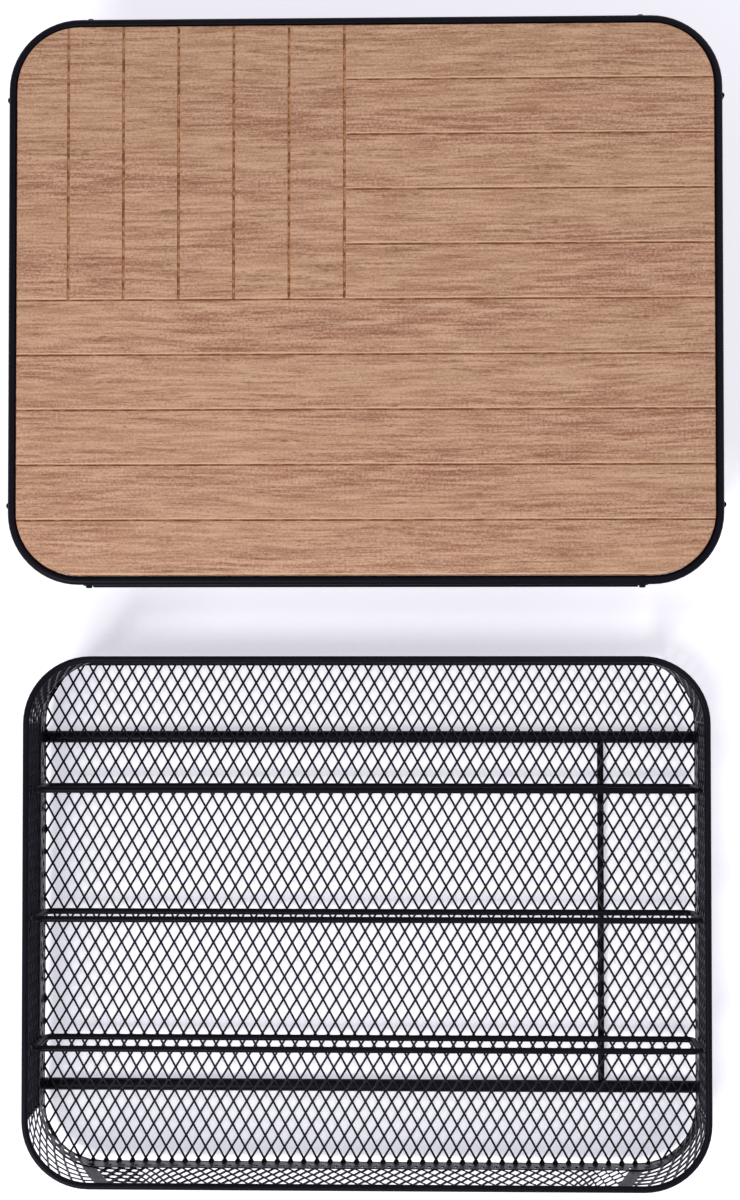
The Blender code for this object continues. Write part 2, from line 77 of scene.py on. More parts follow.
# Wires. These thicknesses follow the photograph, and some are stouter than the solids'.
WIRE_RESOLUTION = 7
ROD_SIDES = 24
BEND_SEGMENTS = 14
ROD_END_ROUNDING = 0.5 * MM
ROUNDING_SEGMENTS = 3
RING_WIRE = 3.9 * MM
RIM_WIRE = 3.0 * MM
DIVIDER_WIRE = 2.8 * MM
RUNNER_ROD = 5.6 * MM
TIE_WIRE = 3.0 * MM
RING_CORNER_RADIUS = 29.55 * MM
RIM_CORNER_RADIUS = 28.55 * MM
LEG_BEND_RADIUS = 8 * MM
STOP_BEND_RADIUS = 6 * MM
DIVIDER_BEND_RADIUS = 4 * MM
MERGE_DISTANCE = 0.01 * MM
WIRE_CREASE = math.radians(35)

# Expanded mesh of the drawer
DIAMOND_WIDTH = 6.08 * MM
DIAMOND_LENGTH = 10.41 * MM
LATTICE_LEAN = 0.0375
LATTICE_SHIFT = (-1.06 * MM, 1.16 * MM)
STRAND_WIDTH = 0.82 * MM
STRAND_THICKNESS = 0.5 * MM
STRAND_LIFT = 0.45 * MM
TIPPED_FROM = DIAMOND_WIDTH / 6
SMALLEST_OPENING = 0.25 * MM
WALL_STRETCH = 1.15
FLOOR_CORNER_STEPS = 8
FLANGE_HEIGHT = 12 * MM
FLANGE_STRAND_WIDTH = 3.2 * MM
FLANGE_INSETS = {"front": 1.0 * MM, "right": 0.2 * MM, "back": 0.8 * MM, "left": 0.8 * MM}
BACK_HEM = 1.6 * MM
FLOOR_CORNER_RADIUS = 27 * MM

# The four corner nets, each lapped on its wall's net along a slanted seam
CORNER_STRAND_WIDTH = 0.95 * MM
CORNER_LIFT = 0.14 * MM
BACK_LEFT_LIFT = -0.32 * MM
CORNER_INSET = 0.5 * MM
CORNER_SPREAD = (0.985, 0.0927)
CORNER_DRAW = (-0.288, 1.1257)
SEAM_BAND = 5.5 * MM
SEAM_FEET = {"front_right": 22.4, "back_right": 18.6, "back_left": 18.6, "front_left": 15.5}
SEAM_TOPS = {"front_right": 33.6, "back_right": 30.6, "back_left": 30.6, "front_left": 31.2}
SEAM_OVERLAP = 1.0 * MM
SKEW_START = 85 * MM
SKEW_LENGTH = 35 * MM
SKEW = 0.3

# Grooved board
BOARD_CORNER_RADIUS = 27.6 * MM
BOARD_CORNER_SEGMENTS = 18
BOARD_EDGE_ROUNDING = 0.6 * MM
ROW_GROOVE_WIDTH = 1.2 * MM
COLUMN_GROOVE_WIDTH = 1.8 * MM
GROOVE_DEPTH = 0.5 * MM
GROOVE_FOOT_SHARE = 0.4
GROOVE_SPLIT_X = -8.7 * MM
GROOVE_COLUMN_SPACING = 24.3 * MM
GROOVE_COLUMN_COUNT = 6
BOARD_STRIP_COUNT = 10
CUT_OVERRUN = 3 * MM
BOARD_CREASE = math.radians(25)

# Tones of the wood: how far they wander, and where they begin and end beside the middle of a
# groove or below the board's top
GRAIN_WANDER = 6 * MM
COLUMN_GROOVE_EDGE = (1.3 * MM, 1.0 * MM)
COLUMN_GROOVE_FRONT = (0.3 * MM, 0.9 * MM)
# The LIP values place the painted highlight that runs behind each long groove.
LIP_RAGGEDNESS = 0.9 * MM
LIP_START = (0.45 * MM, 0.60 * MM)
LIP_END = (0.85 * MM, 1.10 * MM)
LIP_LEFT_FADE = 0.5 * MM
LIP_BACK_LIMIT = (2.0 * MM, 1.8 * MM)
BURN_RAGGEDNESS = 0.9 * MM
BURN_DEPTH = (0.50 * MM, 0.68 * MM)
BURN_TOP = (0.03 * MM, 0.09 * MM)
LAYERS_EDGE = (0.1 * MM, 0.3 * MM)

# Beads of weld: half of their three sizes, and how far they sit from a wire's outline
WIRE_END_BEAD = (3.3 * MM, 1.5 * MM, 1.4 * MM)
WIRE_END_BEAD_INSET = 0.9 * MM
WIRE_END_BEAD_RISE = 0.2 * MM
CROSSING_BEAD = (1.9 * MM, 1.9 * MM, 1.6 * MM)
LEG_BEAD = (1.6 * MM, 1.9 * MM, 1.5 * MM)
LEG_BEAD_INSET = 1.0 * MM
LEG_BEAD_DROP = 3 * MM
DIVIDER_BEAD = (1.5 * MM, 1.5 * MM, 1.7 * MM)
DIVIDER_BEAD_INSET = 1.0 * MM
DIVIDER_BEAD_DROP = 3.0 * MM
TIE_BEAD = (1.7 * MM, 1.7 * MM, 1.7 * MM)
WELD_CREASE = math.radians(60)

# Tabs under the board, each with its screw
TAB_COUNT = 4


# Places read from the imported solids


def node_centre(node):
    low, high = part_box(node)
    return (low + high) / 2


def node_size(node):
    low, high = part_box(node)
    return high - low


drawer_centre = node_centre("drawer_rim")


# Small steps of modelling by hand


def deselect_all():
    bpy.ops.object.select_all(action="DESELECT")


def pick(obj):
    """Selects one piece alone."""
    deselect_all()
    obj.select_set(True)
    bpy.context.view_layer.objects.active = obj


def edit(obj):
    pick(obj)
    bpy.ops.object.mode_set(mode="EDIT")


def leave_edit():
    bpy.ops.object.mode_set(mode="OBJECT")


def select_where(obj, kind, test):
    """Selects those corners, edges or faces that pass a test, of a piece in edit mode."""
    bpy.ops.mesh.select_mode(type=kind)
    bm = bmesh.from_edit_mesh(obj.data)
    for part in {"VERT": bm.verts, "EDGE": bm.edges, "FACE": bm.faces}[kind]:
        part.select = test(part)
    bm.select_flush_mode()
    bmesh.update_edit_mesh(obj.data)


def apply_place(obj):
    pick(obj)
    bpy.ops.object.transform_apply(location=True, rotation=True, scale=True)


def apply_modifiers(obj):
    pick(obj)
    for modifier in list(obj.modifiers):
        bpy.ops.object.modifier_apply(modifier=modifier.name)


def remove(obj):
    bpy.data.objects.remove(obj, do_unlink=True)


def copy_of(obj, offset):
    """A copy with a mesh of its own, moved by an offset."""
    copy = obj.copy()
    copy.data = obj.data.copy()
    bpy.context.scene.collection.objects.link(copy)
    copy.location = offset
    apply_place(copy)
    return copy


def join(objects):
    deselect_all()
    for obj in objects:
        obj.select_set(True)
    bpy.context.view_layer.objects.active = objects[0]
    bpy.ops.object.join()
    return objects[0]


def shade_round(obj, crease=WIRE_CREASE):
    """Shades a piece smooth, but for the edges that are sharper than the crease's angle."""
    pick(obj)
    bpy.ops.object.shade_smooth_by_angle(angle=crease)


def give_finish(obj, material):
    obj.data.materials.clear()
    obj.data.materials.append(material)


def dress(obj, name, material, body, slot, *nodes):
    """Names a piece, gives it its finish and body, and hides the solids that it stands for."""
    obj.name = name
    obj.data.name = name
    give_finish(obj, material)
    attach(obj, body)
    if nodes:
        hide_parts(*nodes)


# Wires


def rectangle_path(centre, width, height, turn, radius, open_top=False):
    """An upright or flat rectangle with round corners, as a bare path. Open, it is a U."""
    bpy.ops.mesh.primitive_plane_add(size=1.0)
    path = bpy.context.object
    path.scale = (width, height, 1.0)
    apply_place(path)
    edit(path)
    bpy.ops.mesh.select_all(action="SELECT")
    bpy.ops.mesh.delete(type="ONLY_FACE")
    if open_top:
        select_where(path, "EDGE", lambda edge: all(vert.co.y > 0 for vert in edge.verts))
        bpy.ops.mesh.delete(type="EDGE")
    select_where(path, "VERT", lambda vert: len(vert.link_edges) == 2)
    bpy.ops.mesh.bevel(offset=radius, affect="VERTICES", segments=BEND_SEGMENTS)
    leave_edit()
    path.rotation_euler = turn
    path.location = centre
    apply_place(path)
    return path


def wire_along(path, diameter):
    """Turns a path into a round wire."""
    pick(path)
    bpy.ops.object.convert(target="CURVE")
    curve = path.data
    curve.dimensions = "3D"
    curve.bevel_depth = diameter / 2
    curve.bevel_resolution = WIRE_RESOLUTION
    curve.use_fill_caps = True
    bpy.ops.object.convert(target="MESH")
    edit(path)
    bpy.ops.mesh.select_all(action="SELECT")
    bpy.ops.mesh.remove_doubles(threshold=MERGE_DISTANCE)
    bpy.ops.mesh.normals_make_consistent(inside=False)
    leave_edit()
    shade_round(path)
    return path


def straight_rod(centre, length, diameter, axis):
    """A straight wire along X or Y, with its two ends rounded off."""
    turn = (0, QUARTER_TURN, 0) if axis == "X" else (QUARTER_TURN, 0, 0)
    bpy.ops.mesh.primitive_cylinder_add(
        vertices=ROD_SIDES, radius=diameter / 2, depth=length, location=centre, rotation=turn
    )
    rod = bpy.context.object
    edit(rod)
    select_where(rod, "FACE", lambda face: len(face.verts) == ROD_SIDES)
    bpy.ops.mesh.bevel(offset=min(ROD_END_ROUNDING, diameter / 4), segments=ROUNDING_SEGMENTS)
    leave_edit()
    apply_place(rod)
    shade_round(rod)
    return rod


def thickness(node):
    """A wire's thickness, which is its solid's shortest side."""
    return min(node_size(node))


def level_loop(node, radius, wire):
    """A closed loop that lies flat. It fills its solid's outline from within."""
    size = node_size(node)
    path = rectangle_path(node_centre(node), size.x - wire, size.y - wire, (0, 0, 0), radius)
    return wire_along(path, wire)


def upright_loop(node, radius, wire):
    """A closed loop that stands upright. It fills its solid's outline from within."""
    size = node_size(node)
    turn = (QUARTER_TURN, 0, 0)
    path = rectangle_path(node_centre(node), size.x - wire, size.z - wire, turn, radius)
    return wire_along(path, wire)


def hanging_wire(node, across, radius):
    """A U that hangs or stands, along X or Y, with its open side up."""
    size = node_size(node)
    wire = thickness(node)
    width = size.x if across == "X" else size.y
    turn = (QUARTER_TURN, 0, 0) if across == "X" else (QUARTER_TURN, 0, QUARTER_TURN)
    centre = node_centre(node)
    centre.z += wire / 4
    path = rectangle_path(centre, width - wire, size.z - wire / 2, turn, radius, open_top=True)
    return wire_along(path, wire)


def node_rod(node, axis, diameter=None):
    """A rod in its solid's place. A stouter one still has its foot where the solid's is."""
    low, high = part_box(node)
    diameter = diameter or thickness(node)
    centre = (low + high) / 2
    centre.z = low.z + diameter / 2
    length = (high - low).x if axis == "X" else (high - low).y
    return straight_rod(centre, length, diameter, axis)


# Materials


def new_material(name):
    material = bpy.data.materials.new(name)
    material.use_nodes = True
    return material, material.node_tree


def node_of(tree, kind, **settings):
    node = tree.nodes.new(kind)
    for key, value in settings.items():
        setattr(node, key, value)
    return node


def math_node(tree, operation, first, second=None, third=None):
    node = node_of(tree, "ShaderNodeMath", operation=operation)
    for socket, value in zip(node.inputs, (first, second, third)):
        if value is None:
            continue
        if hasattr(value, "is_output"):
            tree.links.new(value, socket)
        else:
            socket.default_value = value
    return node.outputs[0]


def noise(tree, coordinates, scale, detail, roughness=0.5):
    """Noise on coordinates that are stretched by a scale for each axis, in turns a metre."""
    mapping = node_of(tree, "ShaderNodeMapping")
    mapping.inputs["Scale"].default_value = scale
    tree.links.new(coordinates, mapping.inputs["Vector"])
    texture = node_of(tree, "ShaderNodeTexNoise")
    texture.inputs["Scale"].default_value = 1.0
    texture.inputs["Detail"].default_value = detail
    texture.inputs["Roughness"].default_value = roughness
    tree.links.new(mapping.outputs[0], texture.inputs["Vector"])
    return texture.outputs["Fac"]


def map_range(tree, value, from_low, from_high, to_low=0.0, to_high=1.0, smooth=False):
    """Carries a value from one range to another, and holds it at both ends."""
    node = node_of(tree, "ShaderNodeMapRange")
    if smooth:
        node.interpolation_type = "SMOOTHSTEP"
    ends = {"From Min": from_low, "From Max": from_high, "To Min": to_low, "To Max": to_high}
    for name, number in ends.items():
        node.inputs[name].default_value = number
    tree.links.new(value, node.inputs["Value"])
    return node.outputs["Result"]


def blend_colours(tree, factor, first, second):
    node = node_of(tree, "ShaderNodeMix", data_type="RGBA")
    colour_inputs = [socket for socket in node.inputs if socket.type == "RGBA"]
    tree.links.new(factor, node.inputs["Factor"])
    for socket, value in zip(colour_inputs, (first, second)):
        if hasattr(value, "is_output"):
            tree.links.new(value, socket)
        else:
            socket.default_value = (*value, 1.0)
    return next(socket for socket in node.outputs if socket.type == "RGBA")


def add_bump(tree, shader, height, strength, distance):
    bump = node_of(tree, "ShaderNodeBump")
    bump.inputs["Strength"].default_value = strength
    bump.inputs["Distance"].default_value = distance
    tree.links.new(height, bump.inputs["Height"])
    tree.links.new(bump.outputs["Normal"], shader.inputs["Normal"])


WIRE_DARK = (0.0012, 0.0010, 0.0034)
WIRE_LIGHT = (0.0050, 0.0044, 0.0105)
MESH_DARK = (0.0012, 0.0010, 0.0046)
MESH_LIGHT = (0.0058, 0.0052, 0.0150)
ZINC_DULL = (0.46, 0.46, 0.47)
ZINC_BRIGHT = (0.66, 0.66, 0.68)


def powder_coat(name, dark, light, grain, shine, smooth, rough):
    """Satin black powder coat: fine orange peel, with tone and gloss that wander a little."""
    material, tree = new_material(name)
    shader = tree.nodes["Principled BSDF"]
    place = node_of(tree, "ShaderNodeTexCoord").outputs["Object"]
    cloud = noise(tree, place, (60, 60, 60), detail=3.0)
    speckle = noise(tree, place, (grain, grain, grain), detail=2.0)
    mottled = math_node(tree, "MULTIPLY", cloud, speckle)
    tone = map_range(tree, mottled, 0.12, 0.42)
    tree.links.new(blend_colours(tree, tone, dark, light), shader.inputs["Base Color"])
    tree.links.new(map_range(tree, cloud, 0.3, 0.7, smooth, rough), shader.inputs["Roughness"])
    shader.inputs["Specular IOR Level"].default_value = shine
    add_bump(tree, shader, speckle, strength=0.25, distance=0.15 * MM)
    return material


def plated_steel():
    """Zinc plate with turning marks round each screw."""
    material, tree = new_material("zinc_plate")
    shader = tree.nodes["Principled BSDF"]
    place = node_of(tree, "ShaderNodeTexCoord").outputs["Object"]
    cloud = noise(tree, place, (900, 900, 900), detail=3.0)
    fine = noise(tree, place, (400, 400, 6000), detail=2.0)
    tree.links.new(blend_colours(tree, cloud, ZINC_DULL, ZINC_BRIGHT), shader.inputs["Base Color"])
    tree.links.new(map_range(tree, fine, 0.3, 0.7, 0.25, 0.42), shader.inputs["Roughness"])
    shader.inputs["Metallic"].default_value = 1.0
    return material


# The wood's colours, as the photograph shows them
WOOD_FIBRE = (0.655, 0.405, 0.276)
WOOD_YELLOWISH = (0.440, 0.240, 0.142)
WOOD_PINKISH = (0.335, 0.148, 0.092)
WOOD_STREAK = (0.262, 0.122, 0.065)
WOOD_PORE = (0.156, 0.071, 0.034)
ROW_GROOVE = (0.270, 0.100, 0.034)
ROW_GROOVE_WORN = (0.480, 0.250, 0.130)
# Painted highlight: the pale line behind each long groove stands in for light caught by the
# groove's far wall.
PAINTED_GROOVE_HIGHLIGHT = (0.800, 0.550, 0.380)
COLUMN_GROOVE = (0.500, 0.255, 0.130)
COLUMN_GROOVE_DARK = (0.210, 0.080, 0.028)
EDGE_PALE = (0.64, 0.47, 0.34)


def wandering_grain(tree, place):
    """Places for the grain, which runs along X and wanders a few millimetres from side to side."""
    split = node_of(tree, "ShaderNodeSeparateXYZ")
    tree.links.new(place, split.inputs[0])
    drift = math_node(tree, "SUBTRACT", noise(tree, place, (9, 15, 15), detail=1.0), 0.5)
    across = math_node(tree, "MULTIPLY_ADD", drift, GRAIN_WANDER, split.outputs["Y"])
    grain = node_of(tree, "ShaderNodeCombineXYZ")
    tree.links.new(split.outputs["X"], grain.inputs["X"])
    tree.links.new(across, grain.inputs["Y"])
    tree.links.new(split.outputs["Z"], grain.inputs["Z"])
    return grain.outputs[0]


def wood_grain(tree, place):
    """Light brown grain: broad tones, pale fibres, beaded dark streaks and short pores."""
    grain = wandering_grain(tree, place)
    broad = noise(tree, grain, (6, 45, 45), detail=3.0)
    fibre = noise(tree, grain, (48, 820, 820), detail=4.0, roughness=0.62)
    speckle = noise(tree, place, (900, 1000, 1000), detail=2.0)
    streak = noise(tree, grain, (30, 620, 620), detail=3.0, roughness=0.6)
    bead = noise(tree, grain, (330, 600, 600), detail=2.0)
    pore = noise(tree, grain, (260, 2300, 2300), detail=2.0)
    base = blend_colours(tree, map_range(tree, broad, 0.40, 0.60), WOOD_PINKISH, WOOD_YELLOWISH)
    tone = math_node(tree, "MULTIPLY_ADD", speckle, 0.38, math_node(tree, "MULTIPLY", fibre, 0.62))
    base = blend_colours(tree, map_range(tree, tone, 0.40, 0.60), base, WOOD_FIBRE)
    line = map_range(tree, streak, 0.47, 0.34, 0.0, 0.85, smooth=True)
    beaded = math_node(tree, "MULTIPLY", line, map_range(tree, bead, 0.36, 0.60, 0.15, 0.95))
    base = blend_colours(tree, beaded, base, WOOD_STREAK)
    dash = map_range(tree, pore, 0.36, 0.27, 0.0, 0.7, smooth=True)
    return blend_colours(tree, dash, base, WOOD_PORE), fibre, pore


def groove_colour(tree, place, split):
    """Burnt brown in the long grooves, and a milder mottled brown in the short ones across."""
    low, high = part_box("wood_board")
    mottle = map_range(tree, noise(tree, place, (420, 420, 420), detail=3.0), 0.4, 0.6)
    mild = blend_colours(tree, mottle, COLUMN_GROOVE_DARK, COLUMN_GROOVE)
    from_split = math_node(tree, "SUBTRACT", split.outputs["X"], GROOVE_SPLIT_X)
    aside = math_node(tree, "PINGPONG", from_split, GROOVE_COLUMN_SPACING / 2)
    on_column = map_range(tree, aside, *COLUMN_GROOVE_EDGE)
    left = map_range(tree, from_split, *COLUMN_GROOVE_EDGE)
    middle = (low.y + high.y) / 2
    start, end = COLUMN_GROOVE_FRONT
    behind = map_range(tree, split.outputs["Y"], middle + start, middle + end)
    there = math_node(tree, "MULTIPLY", math_node(tree, "MULTIPLY", on_column, left), behind)
    wear = map_range(tree, noise(tree, place, (190, 500, 500), detail=2.0), 0.48, 0.62, 0.0, 0.9)
    burnt = blend_colours(tree, wear, ROW_GROOVE, ROW_GROOVE_WORN)
    return blend_colours(tree, there, burnt, mild)


def painted_groove_highlight(tree, split, ragged):
    """How much painted highlight there is: a pale line along the back side of the long grooves,
    standing in for light caught by each groove's far wall.
    """
    low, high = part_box("wood_board")
    strip = (high.y - low.y) / BOARD_STRIP_COUNT
    from_front = math_node(tree, "SUBTRACT", split.outputs["Y"], low.y)
    behind = math_node(tree, "WRAP", from_front, strip / 2, -strip / 2)
    highlight_place = math_node(tree, "MULTIPLY_ADD", ragged, LIP_RAGGEDNESS, behind)
    highlight_place = math_node(tree, "SUBTRACT", highlight_place, LIP_RAGGEDNESS / 2)
    lip_start = map_range(tree, highlight_place, *LIP_START, 0.0, 0.75)
    lip_end = map_range(tree, highlight_place, *LIP_END, 1.0, 0.0)
    on_right = map_range(tree, split.outputs["X"], GROOVE_SPLIT_X, GROOVE_SPLIT_X + LIP_LEFT_FADE)
    middle = (low.y + high.y) / 2
    start, end = LIP_BACK_LIMIT
    in_front = map_range(tree, split.outputs["Y"], middle + start, middle + end)
    there = math_node(tree, "MAXIMUM", on_right, in_front)
    return math_node(tree, "MULTIPLY", math_node(tree, "MULTIPLY", lip_start, lip_end), there)


def grooved_wood():
    """Oiled veneer, burnt brown in the grooves, with a painted highlight behind the long grooves
    and a pale layered edge.
    """
    material, tree = new_material("oiled_veneer")
    shader = tree.nodes["Principled BSDF"]
    place = node_of(tree, "ShaderNodeTexCoord").outputs["Object"]
    colour, fibre, pore = wood_grain(tree, place)
    split = node_of(tree, "ShaderNodeSeparateXYZ")
    tree.links.new(place, split.inputs[0])
    ragged = noise(tree, place, (260, 700, 700), detail=3.0)
    low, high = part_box("wood_board")
    depth = math_node(tree, "SUBTRACT", high.z, split.outputs["Z"])
    # Painted highlight: a pale line on the top behind each long groove, in place of the lit far
    # wall of the groove.
    colour = blend_colours(tree, painted_groove_highlight(tree, split, ragged), colour, PAINTED_GROOVE_HIGHLIGHT)
    burn = math_node(tree, "MULTIPLY_ADD", ragged, BURN_RAGGEDNESS, depth)
    burnt = map_range(tree, burn, *BURN_DEPTH)
    in_groove = math_node(tree, "MULTIPLY", burnt, map_range(tree, depth, *BURN_TOP))
    colour = blend_colours(tree, in_groove, colour, groove_colour(tree, place, split))
    ply = noise(tree, place, (60, 60, 900), detail=2.0)
    pale = blend_colours(tree, ply, EDGE_PALE, WOOD_YELLOWISH)
    foot = high.z - low.z
    start, end = LAYERS_EDGE
    above_foot = map_range(tree, depth, foot - start, foot - end)
    below_grooves = map_range(tree, depth, GROOVE_DEPTH + start, GROOVE_DEPTH + end)
    layers = math_node(tree, "MULTIPLY", above_foot, below_grooves)
    colour = blend_colours(tree, layers, colour, pale)
    tree.links.new(colour, shader.inputs["Base Color"])
    tree.links.new(map_range(tree, fibre, 0.3, 0.7, 0.66, 0.52), shader.inputs["Roughness"])
    shader.inputs["Specular IOR Level"].default_value = 0.15
    relief = math_node(tree, "MULTIPLY_ADD", pore, 0.7, fibre)
    add_bump(tree, shader, relief, strength=0.35, distance=0.12 * MM)
    return material


coat = powder_coat(
    "black_powder_coat", WIRE_DARK, WIRE_LIGHT, grain=1500, shine=0.07, smooth=0.34, rough=0.50
)
mesh_coat = powder_coat(
    "black_mesh_coat", MESH_DARK, MESH_LIGHT, grain=1900, shine=0.20, smooth=0.24, rough=0.34
)
zinc = plated_steel()
veneer = grooved_wood()


# The stand's and the drawer's wires


def dress_wire(wire, name, body, *nodes):
    dress(wire, name, coat, body, "black_wire", *nodes)


def stand_wires():
    ring = level_loop("top_ring", RING_CORNER_RADIUS, RING_WIRE)
    dress_wire(ring, "ring_wire", "stand", "top_ring")
    for side in ("left", "right"):
        node = f"board_wire_{side}"
        dress_wire(node_rod(node, "Y"), f"under_wire_{side}", "stand", node)
        node = f"side_frame_{side}"
        dress_wire(hanging_wire(node, "Y", LEG_BEND_RADIUS), f"leg_wire_{side}", "stand", node)
    for side in ("front", "back"):
        node = f"cross_wire_{side}"
        dress_wire(node_rod(node, "X"), f"spreader_{side}", "stand", node)
    dress_wire(node_rod("front_rail", "X"), "front_rail_wire", "stand", "front_rail")
    stop = hanging_wire("back_stop", "X", STOP_BEND_RADIUS)
    dress_wire(stop, "stop_wire", "stand", "back_stop")


def drawer_wires():
    rim = level_loop("drawer_rim", RIM_CORNER_RADIUS, RIM_WIRE)
    dress_wire(rim, "rim_wire", "drawer", "drawer_rim")
    for place in ("front", "middle", "back"):
        node = f"divider_{place}"
        loop = upright_loop(node, DIVIDER_BEND_RADIUS, DIVIDER_WIRE)
        dress_wire(loop, f"divider_wire_{place}", "drawer", node)
    for place in ("front", "back"):
        node = f"floor_rod_{place}"
        dress_wire(node_rod(node, "X", RUNNER_ROD), f"runner_rod_{place}", "drawer", node)
    dress_wire(node_rod("tie_rod", "Y", TIE_WIRE), "tie_wire", "drawer", "tie_rod")


# The drawer's expanded mesh


def lean():
    """The floor's diamonds lean a little to the right as they run back."""
    return Matrix(((1.0, LATTICE_LEAN), (0.0, 1.0)))


def folded_up(turn, stretch):
    """How the floor's diamonds lie in the net of one side, folded up and drawn taller."""
    return Matrix(((1.0, 0.0), (0.0, stretch))) @ Matrix.Rotation(-turn, 2) @ lean()


def pulled_round(turn):
    """How the diamonds lie in a corner's net, where their rows run level."""
    side = 1 if math.sin(2 * turn) > 0 else -1
    spread = (CORNER_SPREAD[0], side * CORNER_SPREAD[1])
    draw = (side * CORNER_DRAW[0], CORNER_DRAW[1])
    return Matrix((spread, draw)) @ Matrix.Rotation(-turn, 2)


def fold_offset(turn, distance):
    """Where the floor's diamonds meet a fold at that distance, told within one diamond."""
    at_fold = Vector(LATTICE_SHIFT) + Matrix.Rotation(turn, 2) @ Vector((0, distance))
    offset = lean().inverted() @ at_fold
    return (math.remainder(offset.x, DIAMOND_WIDTH), math.remainder(offset.y, DIAMOND_LENGTH))


def is_square_edge(edge):
    """Whether an edge runs along X or Y inside a sheet."""
    along = edge.verts[0].co - edge.verts[1].co
    return not edge.is_boundary and min(abs(along.x), abs(along.y)) < MERGE_DISTANCE


def diamond_sheet(half_width, half_height, shape, offset):
    """A flat sheet of diamonds without openings, moved by an offset and then shaped."""
    corners = []
    for x in (-half_width, half_width):
        for y in (-half_height, half_height):
            corners.append(shape.inverted() @ Vector((x, y)))
    columns = 2 * math.ceil(max(abs(corner.x) for corner in corners) / DIAMOND_WIDTH) + 2
    rows = 2 * math.ceil(max(abs(corner.y) for corner in corners) / DIAMOND_LENGTH) + 2
    bpy.ops.mesh.primitive_grid_add(x_subdivisions=columns, y_subdivisions=rows, size=1.0)
    sheet = bpy.context.object
    sheet.scale = (columns * DIAMOND_WIDTH, rows * DIAMOND_LENGTH, 1.0)
    apply_place(sheet)
    edit(sheet)
    bpy.ops.mesh.select_all(action="SELECT")
    bpy.ops.mesh.poke()
    select_where(sheet, "EDGE", is_square_edge)
    bpy.ops.mesh.dissolve_edges(use_verts=False)
    bm = bmesh.from_edit_mesh(sheet.data)
    for vert in bm.verts:
        place = shape @ Vector((vert.co.x + offset[0], vert.co.y + offset[1]))
        vert.co = (place.x, place.y, 0)
    bmesh.update_edit_mesh(sheet.data)
    leave_edit()
    return sheet


def skew_ends(sheet):
    """Draws the diamonds near both ends of a wall's net inwards, more towards the top."""
    edit(sheet)
    bm = bmesh.from_edit_mesh(sheet.data)
    for vert in bm.verts:
        share = min(max((abs(vert.co.x) - SKEW_START) / SKEW_LENGTH, 0.0), 1.0)
        share = share * share * (3 - 2 * share)
        side = 1 if vert.co.x > 0 else -1
        vert.co.x += side * SKEW * vert.co.y * share
    bmesh.update_edit_mesh(sheet.data)
    leave_edit()


def trim(point, normal):
    """Cuts off what lies beyond a line, of the sheet in edit mode."""
    bpy.ops.mesh.select_all(action="SELECT")
    bpy.ops.mesh.bisect(plane_co=point, plane_no=normal, clear_outer=True, threshold=MERGE_DISTANCE)


def trim_to_lines(sheet, lines):
    edit(sheet)
    for point, normal in lines:
        trim(point, normal)
    leave_edit()


def trim_corners(sheet, half_width, half_depth, radius):
    """Trims a sheet's four corners to short chords of an arc."""
    edit(sheet)
    step = QUARTER_TURN / FLOOR_CORNER_STEPS
    for side_x, side_y in ((1, 1), (-1, 1), (-1, -1), (1, -1)):
        centre = Vector((side_x * (half_width - radius), side_y * (half_depth - radius), 0))
        for i in range(FLOOR_CORNER_STEPS):
            angle = (i + 0.5) * step
            normal = Vector((side_x * math.cos(angle), side_y * math.sin(angle), 0))
            trim(centre + radius * math.cos(step / 2) * normal, normal)
    leave_edit()


def is_opening(face, strand, closed):
    """Whether what a diamond has left is big enough to open, and short of the closed band."""
    inner_radius = 2 * face.calc_area() / face.calc_perimeter()
    if inner_radius < strand / 2 + SMALLEST_OPENING:
        return False
    if closed is None:
        return True
    point, normal = closed
    return (face.calc_center_median() - Vector(point)).dot(Vector(normal)) < 0


def cut_openings(sheet, shape, strand, lift, closed=None):
    """Leaves a strand round each diamond, and tips the strands as slit and pulled sheet does."""
    edit(sheet)
    if closed is not None:
        bpy.ops.mesh.select_all(action="SELECT")
        bpy.ops.mesh.bisect(plane_co=closed[0], plane_no=closed[1], threshold=MERGE_DISTANCE)
    select_where(sheet, "FACE", lambda face: is_opening(face, strand, closed))
    bpy.ops.mesh.inset(thickness=strand / 2, use_individual=True, use_even_offset=True)
    unshape = shape.inverted()
    bm = bmesh.from_edit_mesh(sheet.data)
    openings = [face for face in bm.faces if face.select]
    sides = {1: set(), -1: set()}
    for face in openings:
        centre = face.calc_center_median()
        for vert in face.verts:
            across = (unshape @ (vert.co - centre).to_2d()).x
            if abs(across) > TIPPED_FROM:
                sides[1 if across > 0 else -1].add(vert.index)
    bpy.ops.mesh.delete(type="ONLY_FACE")
    for side, members in sides.items():
        select_where(sheet, "VERT", lambda vert: vert.index in members)
        bpy.ops.transform.translate(value=(0, 0, side * lift))
    leave_edit()


def give_thickness(sheet):
    solid = sheet.modifiers.new("Strand thickness", "SOLIDIFY")
    solid.thickness = STRAND_THICKNESS
    solid.offset = 0
    apply_modifiers(sheet)


def stand_up(sheet):
    """Stands a sheet on its edge, so that it faces -Y and runs along X."""
    give_thickness(sheet)
    sheet.rotation_euler = (-QUARTER_TURN, 0, 0)
    apply_place(sheet)
    return sheet


def bend_round(strip, left, right, half_arc):
    """Bends the middle of a strip to a quarter round, and leaves its ends straight."""
    bend = strip.modifiers.new("Quarter bend", "SIMPLE_DEFORM")
    bend.deform_method = "BEND"
    bend.deform_axis = "Z"
    bend.angle = QUARTER_TURN
    length = right - left
    bend.limits = ((-half_arc - left) / length, (half_arc - left) / length)
    apply_modifiers(strip)


def half_sides():
    """Half of the distance between the walls' middles, across and along."""
    across = (node_centre("wall_right").x - node_centre("wall_left").x) / 2
    along = (node_centre("wall_back").y - node_centre("wall_front").y) / 2
    return across, along


